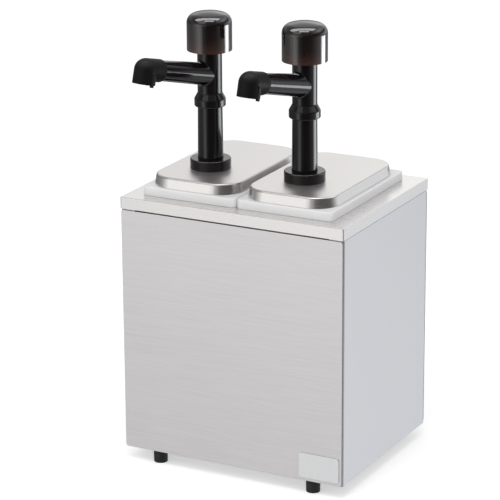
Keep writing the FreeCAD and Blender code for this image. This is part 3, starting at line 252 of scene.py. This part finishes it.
def make_room():
    """The world: rows of the room blended by height for glossy rays, plain light and backdrop else."""
    world = bpy.data.worlds.new("room")
    world.use_nodes = True
    bpy.context.scene.world = world
    tree = world.node_tree
    tree.nodes.clear()
    ray = add(tree, "ShaderNodeTexCoord").outputs["Generated"]
    parts = add(tree, "ShaderNodeSeparateXYZ", _0=ray)
    minus_y = add(tree, "ShaderNodeMath", {"operation": "MULTIPLY"}, _0=parts.outputs["Y"], _1=-1.0)
    angle = add(tree, "ShaderNodeMath", {"operation": "ARCTAN2"}, _0=parts.outputs["X"],
                _1=minus_y.outputs[0])
    share = add(tree, "ShaderNodeMapRange", _0=angle.outputs[0], _1=-math.pi, _2=math.pi)
    below, stops = ROOM_ROWS[0]
    glow = room_row(tree, share.outputs[0], stops)
    for height, stops in ROOM_ROWS[1:]:
        row = room_row(tree, share.outputs[0], stops)
        rise = add(tree, "ShaderNodeMapRange", {"interpolation_type": "SMOOTHSTEP"},
                   _0=parts.outputs["Z"], _1=below, _2=height)
        glow = add(tree, "ShaderNodeMix", {"data_type": "RGBA"}, _0=rise.outputs[0], _6=glow,
                   _7=row).outputs[2]
        below = height
    rays = add(tree, "ShaderNodeLightPath").outputs
    seen = add(tree, "ShaderNodeBackground", Color=glow, Strength=ROOM_PEAK)
    spread = add(tree, "ShaderNodeBackground", Color=WHITE, Strength=ROOM_LIGHT)
    backdrop = add(tree, "ShaderNodeBackground", Color=WHITE, Strength=BACKDROP)
    lit = add(tree, "ShaderNodeMixShader", _0=rays["Is Glossy Ray"], _1=spread.outputs[0],
              _2=seen.outputs[0])
    whole = add(tree, "ShaderNodeMixShader", _0=rays["Is Camera Ray"], _1=lit.outputs[0],
                _2=backdrop.outputs[0])
    add(tree, "ShaderNodeOutputWorld", _0=whole.outputs[0])


def make_floor():
    mesh = bpy.data.meshes.new("floor")
    half = FLOOR_SIZE / 2
    corners = [(-half, -half, 0), (half, -half, 0), (half, half, 0), (-half, half, 0)]
    mesh.from_pydata(corners, [], [(0, 1, 2, 3)])
    floor = bpy.data.objects.new("floor", mesh)
    bpy.context.scene.collection.objects.link(floor)
    floor.visible_glossy = False
    material = bpy.data.materials.new("floor_white")
    material.use_nodes = True
    shader = material.node_tree.nodes["Principled BSDF"]
    grain = add(material.node_tree, "ShaderNodeTexNoise", Scale=FLOOR_GRAIN, Detail=4.0)
    tone = add(material.node_tree, "ShaderNodeMapRange", _0=grain.outputs[0], _3=FLOOR_TONES[0],
               _4=FLOOR_TONES[1])
    material.node_tree.links.new(tone.outputs[0], shader.inputs["Base Color"])
    shader.inputs["Roughness"].default_value = FLOOR_ROUGHNESS
    shader.inputs["Specular IOR Level"].default_value = FLOOR_GLOSS
    shader.inputs["Emission Color"].default_value = WHITE
    shader.inputs["Emission Strength"].default_value = FLOOR_GLOW
    mesh.materials.append(material)


# Materials. Grain and noise scales are per metre; bump depths are in metres.

class Surface:
    """A material with one Principled shader, and short calls for the detail that feeds it."""

    def __init__(self, name, colour, roughness, **constants):
        self.material = bpy.data.materials.new(name)
        self.material.use_nodes = True
        self.tree = self.material.node_tree
        self.shader = self.tree.nodes["Principled BSDF"]
        self.shader.inputs["Base Color"].default_value = (*colour, 1)
        self.shader.inputs["Roughness"].default_value = roughness
        for socket, value in constants.items():
            self.shader.inputs[socket.replace("_", " ")].default_value = value
        self.place = self.node("ShaderNodeTexCoord").outputs["Object"]
        self.height = None

    def node(self, kind, settings=None, **values):
        return add(self.tree, kind, settings, **values)

    def math(self, operation, first, second=0.0):
        return self.node("ShaderNodeMath", {"operation": operation}, _0=first, _1=second).outputs[0]

    def stretched(self, scales):
        return self.node("ShaderNodeMapping", Vector=self.place, Scale=scales).outputs[0]

    def noise(self, scales, detail=3.0, roughness=0.55):
        if isinstance(scales, (int, float)):
            scales = (scales, scales, scales)
        return self.node("ShaderNodeTexNoise", Vector=self.stretched(scales), Scale=1.0,
                         Detail=detail, Roughness=roughness).outputs[0]

    def between(self, value, low, high, start=0.25, end=0.75):
        """The value's range from start to end, spread over low to high."""
        return self.node("ShaderNodeMapRange", _0=value, _1=start, _2=end, _3=low, _4=high).outputs[0]

    def tint(self, factor, *colours):
        """Feed the base colour with one that runs through colours as factor goes from 0 to 1."""
        ramp = self.node("ShaderNodeValToRGB", _0=factor)
        stops = ramp.color_ramp.elements
        for index, colour in enumerate(colours):
            position = index / (len(colours) - 1)
            stop = stops[index] if index < 2 else stops.new(position)
            stop.position = position
            stop.color = (*colour, 1)
        self.feed("Base Color", ramp.outputs[0])
        return ramp.outputs[0]

    def feed(self, socket, value):
        self.tree.links.new(value, self.shader.inputs[socket])

    def bump(self, height, depth, strength=0.5):
        node = self.node("ShaderNodeBump", Strength=strength, Distance=depth, Height=height)
        if self.height is not None:
            self.tree.links.new(self.height, node.inputs["Normal"])
        self.height = node.outputs[0]
        self.tree.links.new(self.height, self.shader.inputs["Normal"])


def scaled(colour, factor):
    return tuple(min(1.0, part * factor) for part in colour)


def brushed_steel(name, colour, grain, roughness, contrast=0.06, turned=None, **constants):
    """Satin sheet: streaks of three sizes along the grain, faint cloudiness, fine bump.

    turned names an axis, and gives the painted shade (a brightness against the others) and the
    roughness of the faces that don't look along it.
    """
    surface = Surface(name, colour, roughness, **{"Metallic": 1.0, **constants})
    mixed = surface.math("MULTIPLY", surface.noise(CLOUD_SCALE, 2.0), CLOUD_SHARE)
    layers = []
    for along, across, detail, share in STREAKS:
        layer = surface.noise([along if axis == grain else across for axis in "xyz"], detail)
        layers.append(layer)
        mixed = surface.math("ADD", mixed, surface.math("MULTIPLY", layer, share))
    tone = surface.tint(surface.between(mixed, 0, 1, *BRUSHED_RANGE), scaled(colour, 1 - contrast),
                        colour, scaled(colour, 1 + contrast))
    matt = surface.between(mixed, roughness - SMOOTHER, roughness + ROUGHER, *BRUSHED_RANGE)
    if turned:
        axis, brightness, turned_roughness = turned
        facing = surface.node("ShaderNodeTexCoord").outputs["Normal"]
        facing = surface.node("ShaderNodeSeparateXYZ", _0=facing).outputs[axis]
        share = surface.between(surface.math("ABSOLUTE", facing), 0, 1, *TURNED_RANGE)
        # Painted shade: the base colour of faces turned away from the axis is scaled by their brightness
        painted_turn_shade = surface.math("ADD", surface.math("MULTIPLY", share, brightness - 1), 1.0)
        tone = surface.node("ShaderNodeVectorMath", {"operation": "SCALE"}, _0=tone, Scale=painted_turn_shade)
        surface.feed("Base Color", tone.outputs[0])
        matt = surface.math("ADD", matt, surface.math("MULTIPLY", share, turned_roughness - roughness))
    surface.feed("Roughness", matt)
    for layer, (depth, strength) in zip(layers, BRUSHED_BUMPS):
        surface.bump(layer, depth, strength)
    return surface.material


def mill_steel(name, colour, roughness):
    """Plain sheet or plated hardware: fine mottling and a few soft rub marks."""
    surface = Surface(name, colour, roughness, Metallic=1.0)
    mottle = surface.noise(260, 5.0)
    rubs = surface.noise((30, 30, 150), 3.0)
    mixed = surface.math("MULTIPLY", surface.math("ADD", mottle, rubs), 0.5)
    surface.tint(surface.between(mixed, 0, 1, 0.3, 0.7), scaled(colour, 0.86), colour,
                 scaled(colour, 1.08))
    surface.feed("Roughness", surface.between(mixed, roughness - 0.08, roughness + 0.1))
    surface.bump(mottle, 0.00005, 0.3)
    return surface.material


def moulded_plastic(name, colour, roughness, texture, depth, **constants):
    """Moulded plastic: a slow swim in the surface, fine texture, faint handling marks in the gloss.

    texture is the scale of the fine texture, and depth its depth.
    """
    surface = Surface(name, colour, roughness, **constants)
    swim = surface.noise(34, 2.0)
    fine = surface.noise(texture, 3.0)
    marks = surface.noise((70, 70, 400), 4.0)
    surface.tint(surface.between(swim, 0, 1, 0.3, 0.7), scaled(colour, 0.9), colour,
                 scaled(colour, 1.12))
    surface.feed("Roughness", surface.between(marks, roughness * 0.82, roughness * 1.25))
    surface.bump(swim, 0.0004, 0.1)
    surface.bump(fine, depth, 0.4)
    return surface.material


def jar_plastic():
    """White food-grade plastic, slightly waxy, with light catching through its thin rim."""
    colour = (0.9, 0.9, 0.91)
    surface = Surface("jar_plastic", colour, 0.34, Subsurface_Weight=0.12, Subsurface_Scale=0.004,
                      Subsurface_Radius=(1.0, 0.95, 0.9))
    swim = surface.noise(26, 3.0)
    fine = surface.noise(900, 2.0)
    surface.tint(surface.between(swim, 0, 1, 0.3, 0.7), scaled(colour, 0.975), colour,
                 scaled(colour, 1.02))
    surface.feed("Roughness", surface.between(swim, 0.3, 0.4))
    surface.bump(fine, 0.00006, 0.3)
    return surface.material


def smoke_plastic():
    """The knobs: dark smoky plastic, with a painted glow of light through the hollow lower part that
    turns them browner towards the lower rim.
    """
    colour = (0.006, 0.0035, 0.003)
    surface = Surface("knob_smoke", colour, 0.07, IOR=1.5, Specular_IOR_Level=1.0,
                      Transmission_Weight=0.3)
    swim = surface.noise(40, 2.0)
    marks = surface.noise((120, 120, 60), 4.0)
    height = surface.node("ShaderNodeSeparateXYZ", _0=surface.place).outputs["Z"]
    # Painted glow: the base colour turns brown towards the lower rim, where light shows through the
    # hollow
    painted_glow = surface.between(height, 0, 1, *KNOB_GLOW_FADE)
    painted_glow = surface.math("ADD", painted_glow, surface.between(swim, -0.15, 0.15))
    surface.tint(painted_glow, colour, scaled(colour, 2), (0.055, 0.024, 0.017))
    surface.feed("Roughness", surface.between(marks, 0.05, 0.11))
    surface.bump(swim, 0.0003, 0.08)
    return surface.material


def fibre_mat():
    """Insulation: matted strands in clumps."""
    colour = (0.82, 0.79, 0.7)
    surface = Surface("insulation_fibre", colour, 0.95, Sheen_Weight=0.3)
    strands = surface.noise((900, 260, 260), 5.0, 0.7)
    clumps = surface.noise(60, 4.0)
    surface.tint(surface.math("MULTIPLY", strands, surface.between(clumps, 0.8, 1.2)),
                 scaled(colour, 0.6), colour, scaled(colour, 1.1))
    surface.bump(strands, 0.0006, 0.8)
    surface.bump(clumps, 0.002, 0.5)
    return surface.material


def lamp_lens():
    """Amber lens with concentric prisms."""
    colour = (0.9, 0.3, 0.03)
    surface = Surface("lamp_amber", colour, 0.15, Transmission_Weight=0.3, IOR=1.5)
    prisms = surface.node("ShaderNodeTexWave", {"wave_type": "RINGS", "rings_direction": "Y"},
                          Vector=surface.place, Scale=260.0, Distortion=0.5).outputs["Fac"]
    surface.tint(prisms, scaled(colour, 0.75), colour)
    surface.feed("Roughness", surface.between(prisms, 0.1, 0.22, 0.0, 1.0))
    surface.bump(prisms, 0.0002, 0.4)
    return surface.material


# The axis tuples paint shade on the faces turned away from that axis, and give them a roughness of their
# own
MATERIALS = {
    # Side panels: the panel steel with its own grain and roughness, in a darker, cooler colour that is
    # painted shade
    "brushed_sides_shaded": lambda: brushed_steel("brushed_sides_shaded", (0.66, 0.658, 0.672), "z", 0.24, 0.035,
                                           Metallic=0.78),
    "brushed_panels": lambda: brushed_steel("brushed_panels", (0.7, 0.682, 0.687), "x", 0.32, 0.065,
                                            ("Y", 0.25, 0.4), Anisotropic=0.45, Metallic=0.72),
    "deck_steel": lambda: brushed_steel("deck_steel", (0.8, 0.782, 0.77), "x", 0.27, 0.03,
                                        ("Z", 0.96, 0.28), Metallic=0.82),
    "lid_steel": lambda: brushed_steel("lid_steel", (0.79, 0.769, 0.75), "y", 0.36, 0.025,
                                       ("Z", 0.835, 0.2), Metallic=0.94),
    "badge_metal": lambda: brushed_steel("badge_metal", (0.84, 0.85, 0.855), "z", 0.36, 0.04),
    "inner_steel": lambda: mill_steel("inner_steel", (0.6, 0.6, 0.59), 0.38),
    "plated_steel": lambda: mill_steel("plated_steel", (0.74, 0.74, 0.72), 0.22),
    "spreader_aluminium": lambda: mill_steel("spreader_aluminium", (0.78, 0.79, 0.8), 0.34),
    "copper_line": lambda: mill_steel("copper_line", (0.75, 0.42, 0.26), 0.25),
    "jar_plastic": jar_plastic,
    "knob_smoke": smoke_plastic,
    "insulation_fibre": fibre_mat,
    "lamp_amber": lamp_lens,
    "pump_black": lambda: moulded_plastic("pump_black", (0.005, 0.004, 0.0045), 0.1, 700, 0.00001,
                                          Specular_IOR_Level=0.42),
    "nozzle_black": lambda: moulded_plastic("nozzle_black", (0.0045, 0.0035, 0.0044), 0.5, 1300,
                                            0.00008, Specular_IOR_Level=0.15),
    "black_rubber": lambda: moulded_plastic("black_rubber", (0.012, 0.011, 0.011), 0.62, 1100, 0.00012),
    "seal_rubber": lambda: moulded_plastic("seal_rubber", (0.05, 0.05, 0.05), 0.6, 900, 0.00008),
    "control_black": lambda: moulded_plastic("control_black", (0.02, 0.02, 0.021), 0.42, 1500, 0.0001),
    "rocker_black": lambda: moulded_plastic("rocker_black", (0.016, 0.016, 0.017), 0.2, 800, 0.00002),
    "terminal_white": lambda: moulded_plastic("terminal_white", (0.8, 0.79, 0.75), 0.4, 800, 0.00004),
    "marking_ink": lambda: moulded_plastic("marking_ink", (0.03, 0.03, 0.034), 0.45, 1800, 0.00001),
    "marking_white": lambda: moulded_plastic("marking_white", (0.82, 0.82, 0.8), 0.5, 1800, 0.00001),
    "wire_sleeve": lambda: moulded_plastic("wire_sleeve", (0.5, 0.08, 0.05), 0.5, 1200, 0.00005),
}


def dress_nodes():
    """Each CAD node gets the material of its slot in the record."""
    made = {name: make() for name, make in MATERIALS.items()}
    for part in frame["record"]["subparts"]:
        name = part["node"]
        mesh = frame["nodes"][name].data
        mesh.materials.clear()
        mesh.materials.append(made[FINISHES.get(name, part["material_slot"])])
        frame["nodes"][name].visible_glossy = not name.endswith(NOT_MIRRORED)
    return made


# Printed marks

def rounded_bar(start, end, width):
    """Outline of a bar with round ends between two points of a plane."""
    start, end = Vector(start), Vector(end)
    heading = math.atan2(end.y - start.y, end.x - start.x)
    outline = []
    for centre, turn in ((end, heading - math.pi / 2), (start, heading + math.pi / 2)):
        for step in range(ARC_STEPS + 1):
            angle = turn + step * math.pi / ARC_STEPS
            outline.append(centre + Vector((math.cos(angle), math.sin(angle))) * width / 2)
    return outline


def print_shape(mesh, outer, holes, place):
    """A thin raised shape, outer ring and at most one hole, in the millimetres of the plane place."""
    rings = [outer] + holes
    for ring_index, ring in enumerate(rings):
        low = [mesh.verts.new(place @ Vector((x, y, 0))) for x, y in ring]
        high = [mesh.verts.new(place @ Vector((x, y, INK))) for x, y in ring]
        for index in range(len(ring)):
            after = (index + 1) % len(ring)
            mesh.faces.new((low[index], low[after], high[after], high[index]))
        if not holes:
            mesh.faces.new(high)
            mesh.faces.new(low[::-1])
        elif ring_index == 0:
            outside = (low, high)
        else:
            for index in range(len(ring)):
                after = (index + 1) % len(ring)
                mesh.faces.new((outside[1][index], outside[1][after], high[after], high[index]))
                mesh.faces.new((outside[0][after], outside[0][index], low[index], low[after]))


def print_text(mesh, text, size, place):
    """Raised letters, centred, in the millimetres of the plane place."""
    font = bpy.data.curves.new(text, "FONT")
    font.body, font.size, font.extrude = text, size, INK / 2
    font.align_x, font.align_y = "CENTER", "CENTER"
    source = bpy.data.objects.new(text, font)
    letters = bpy.data.meshes.new_from_object(source)
    letters.transform(place @ Matrix.Translation((0, 0, INK / 2)))
    mesh.from_mesh(letters)
    bpy.data.objects.remove(source)
    bpy.data.meshes.remove(letters)


def finish_print(mesh, name, body, material):
    """Make the marks one piece that rides on its body."""
    bmesh.ops.recalc_face_normals(mesh, faces=mesh.faces)
    data = bpy.data.meshes.new(name)
    mesh.to_mesh(data)
    mesh.free()
    data.materials.append(material)
    piece = bpy.data.objects.new(name, data)
    bpy.context.scene.collection.objects.link(piece)
    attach(piece, body)


def facing_back(x, y, z):
    """The plane that a viewer behind the cabinet sees upright, scaled from millimetres."""
    turn = Matrix(((-1, 0, 0), (0, 0, 1), (0, 1, 0))).transposed().to_4x4()
    return Matrix.Translation(Vector((x, y, z)) * MM) @ turn @ Matrix.Scale(MM, 4)


def on_surface(node, x, z, heading):
    """The plane of a node's rear surface at x and z in millimetres, its first axis along heading."""
    start = Vector((x, REAR_FACE + RAY_START, z)) * MM
    _, spot, normal, _ = frame["nodes"][node].ray_cast(start, Vector((0, -1, 0)))
    first = (heading - normal * heading.dot(normal)).normalized()
    turn = Matrix((first, normal.cross(first), normal)).transposed().to_4x4()
    return Matrix.Translation(spot) @ turn @ Matrix.Scale(MM, 4)


def polar(radius, angle):
    """A point of a dial's plane: degrees clockwise from nine o'clock."""
    return Vector((-radius * math.cos(math.radians(angle)), radius * math.sin(math.radians(angle))))


def print_dial_marks(made):
    scale = bmesh.new()
    place = facing_back(DIAL_CENTRE[0], REAR_FACE, DIAL_CENTRE[1])
    for tick in range(DIAL_TICKS):
        angle = DIAL_START + tick * DIAL_SWEEP / (DIAL_TICKS - 1)
        inner, outer = (polar(radius, angle) for radius in TICK_RADII)
        print_shape(scale, rounded_bar(inner, outer, TICK_WIDTH), [], place)
        spot = polar(NUMERAL_RADIUS, angle)
        print_text(scale, str(tick), NUMERAL_SIZE, place @ Matrix.Translation((*spot, 0)))
    finish_print(scale, "dial_scale", "cabinet", made["marking_ink"])
    pointer = bmesh.new()
    outward = polar(1, DIAL_START)
    place = on_surface("thermostat_knob", DIAL_CENTRE[0] - outward.x * POINTER_RADIUS,
                       DIAL_CENTRE[1] + outward.y * POINTER_RADIUS, Vector((-outward.x, 0, outward.y)))
    line = rounded_bar((-POINTER_LENGTH / 2, 0), (POINTER_LENGTH / 2, 0), POINTER_WIDTH)
    print_shape(pointer, line, [], place)
    finish_print(pointer, "dial_pointer", "thermostat_dial", made["marking_white"])


def print_rocker_marks(made):
    """I above and O below, each laid on its own slope of the rocker."""
    marks = bmesh.new()
    for side in (1, -1):
        place = on_surface("switch_rocker", ROCKER_CENTRE[0],
                           ROCKER_CENTRE[1] + side * ROCKER_MARK_OFFSET, Vector((-1, 0, 0)))
        if side == 1:
            line = rounded_bar((0, -ROCKER_MARK_SIZE), (0, ROCKER_MARK_SIZE), TICK_WIDTH)
            print_shape(marks, line, [], place)
        else:
            turns = [step * 2 * math.pi / RING_STEPS for step in range(RING_STEPS)]
            outer, inner = ([Vector((radius * math.cos(turn), radius * math.sin(turn))) for turn in turns]
                            for radius in (ROCKER_MARK_SIZE, ROCKER_MARK_SIZE - TICK_WIDTH))
            print_shape(marks, outer, [inner], place)
    finish_print(marks, "rocker_marks", "rocker", made["marking_white"])


make_camera()
make_room()
make_lights()
make_pump_lights()
make_floor()
materials = dress_nodes()
print_dial_marks(materials)
print_rocker_marks(materials)
bpy.context.scene.view_settings.view_transform = "Standard"
